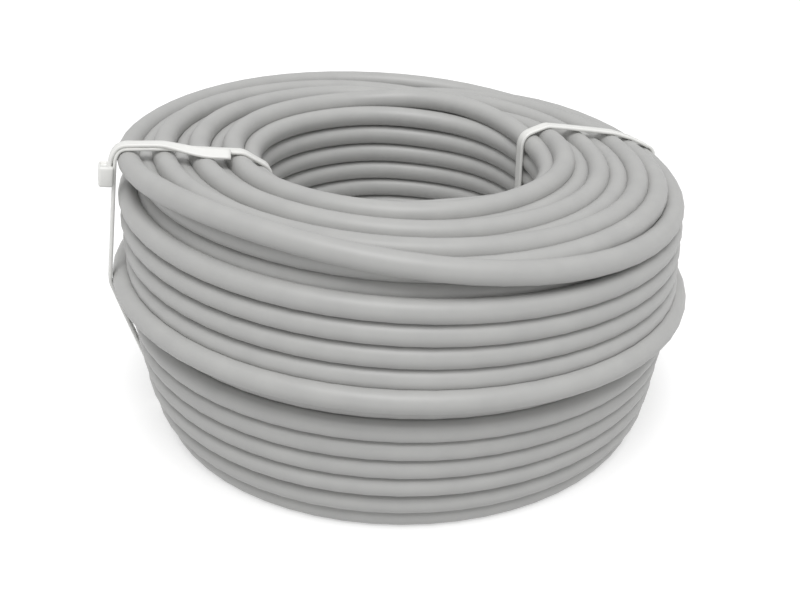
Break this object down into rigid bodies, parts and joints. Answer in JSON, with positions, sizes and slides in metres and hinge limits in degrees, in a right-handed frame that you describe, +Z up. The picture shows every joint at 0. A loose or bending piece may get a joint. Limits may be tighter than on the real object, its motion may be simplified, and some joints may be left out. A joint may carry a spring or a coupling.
{
  "type": "network cable coil",
  "caption": "Coreless coil of light grey round network cable standing on its end, with an open bore, held by nylon cable ties.",
  "frame": {"origin": "centre of the coil's foot, on the surface that it stands on", "axes": "+Z up along the coil's axis; the picture's view looks along +Y"},
  "size_m": [0.2213, 0.2166, 0.1179],
  "materials": {
    "cable_sheath": "satin halogen-free sheath, light grey",
    "tie_nylon": "natural white moulded nylon"
  },
  "bodies": {
    "root": {"cable_coil": "cable_sheath", "tie_left": "tie_nylon", "tie_right": "tie_nylon"}
  },
  "joints": []
}
